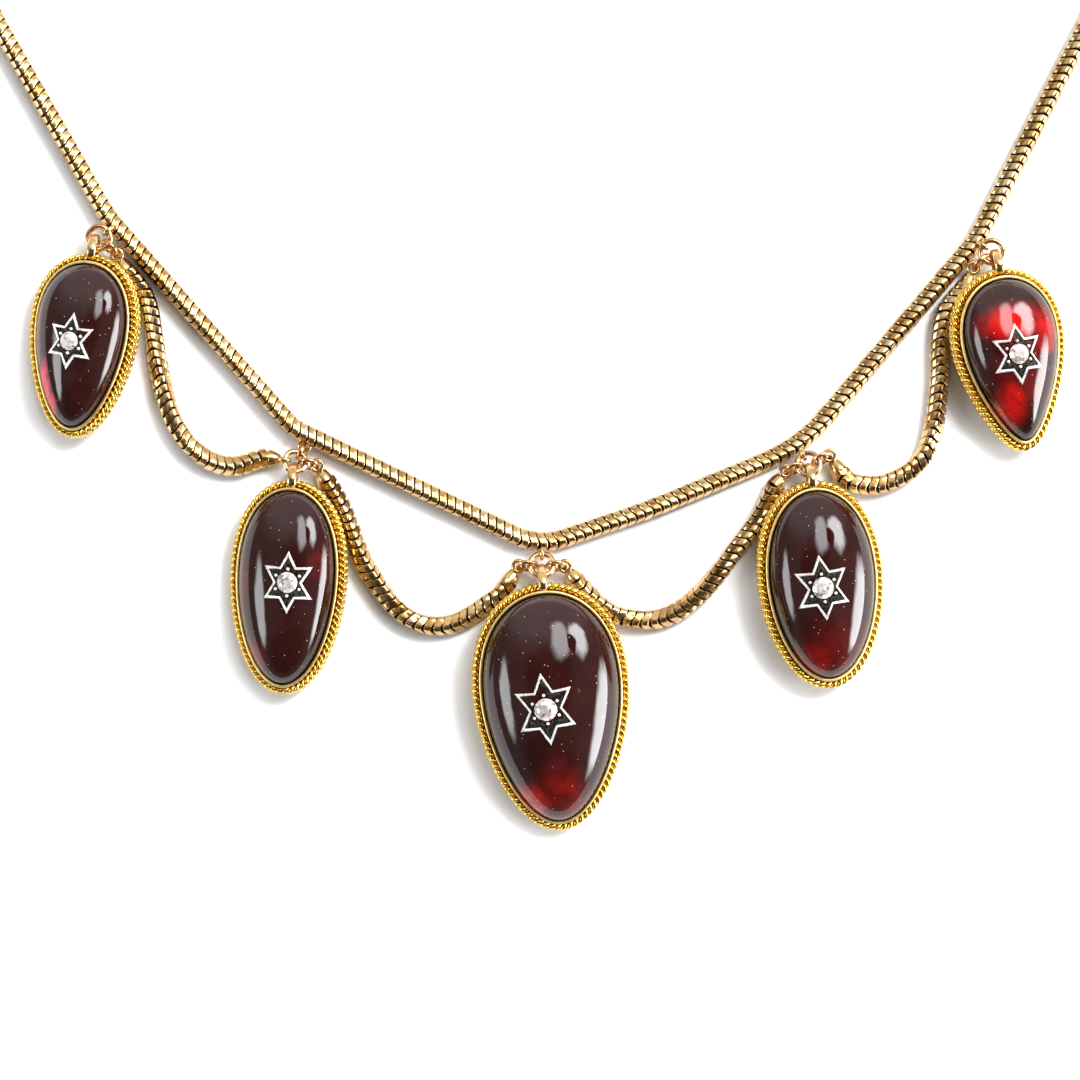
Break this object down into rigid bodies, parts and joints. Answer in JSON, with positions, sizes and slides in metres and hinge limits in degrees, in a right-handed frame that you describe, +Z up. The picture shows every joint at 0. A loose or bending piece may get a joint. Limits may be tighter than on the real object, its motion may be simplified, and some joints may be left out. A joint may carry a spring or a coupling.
{
  "type": "fringe necklace",
  "caption": "Gold snake-chain fringe necklace: pear-shaped garnet cabochon drops, each inlaid with a silver star and a diamond, hung from the chain and joined by swags.",
  "frame": {"origin": "on the surface the necklace lies on, under the middle of its outline", "axes": "+X to the wearer's left as seen from the front (right in the picture), +Y from the drops up to the clasp, +Z up from the surface, out of the stones' faces"},
  "size_m": [0.1423, 0.1798, 0.01],
  "materials": {
    "gold": "polished yellow gold with a soft, worn champagne tone",
    "rich_gold": "polished, slightly richer yellow gold",
    "garnet": "dark wine red, polished dome, nearly opaque with a red glow near its lower edge",
    "silver": "bright rims and grains over a darkened recess",
    "diamond": "clear, slightly warm, faceted"
  },
  "bodies": {
    "root": {"main_chain": "gold", "swag_1": "gold", "swag_2": "gold", "swag_3": "gold", "swag_4": "gold", "swag_cap_1a": "gold", "swag_cap_2a": "gold", "swag_cap_3a": "gold", "swag_cap_4a": "gold", "swag_cap_1b": "gold", "swag_cap_2b": "gold", "swag_cap_3b": "gold", "swag_cap_4b": "gold", "swag_link_1a": "gold", "swag_link_2a": "gold", "swag_link_3a": "gold", "swag_link_4a": "gold", "swag_link_2b": "gold", "swag_link_3b": "gold", "swag_link_4b": "gold", "jump_ring_1": "gold", "jump_ring_2": "gold", "jump_ring_3": "gold", "jump_ring_4": "gold", "jump_ring_5": "gold", "hanger_link": "gold", "setting_1": "rich_gold", "setting_2": "rich_gold", "setting_3": "rich_gold", "setting_4": "rich_gold", "setting_5": "rich_gold", "garnet_1": "garnet", "garnet_2": "garnet", "garnet_3": "garnet", "garnet_4": "garnet", "garnet_5": "garnet", "star_1": "silver", "star_2": "silver", "star_3": "silver", "star_4": "silver", "star_5": "silver", "diamond_1": "diamond", "diamond_2": "diamond", "diamond_3": "diamond", "diamond_4": "diamond", "diamond_5": "diamond", "chain_cap_left": "gold", "chain_cap_right": "gold", "clasp_link_left": "gold", "clasp_link_right": "gold", "clasp": "gold"}
  },
  "joints": []
}
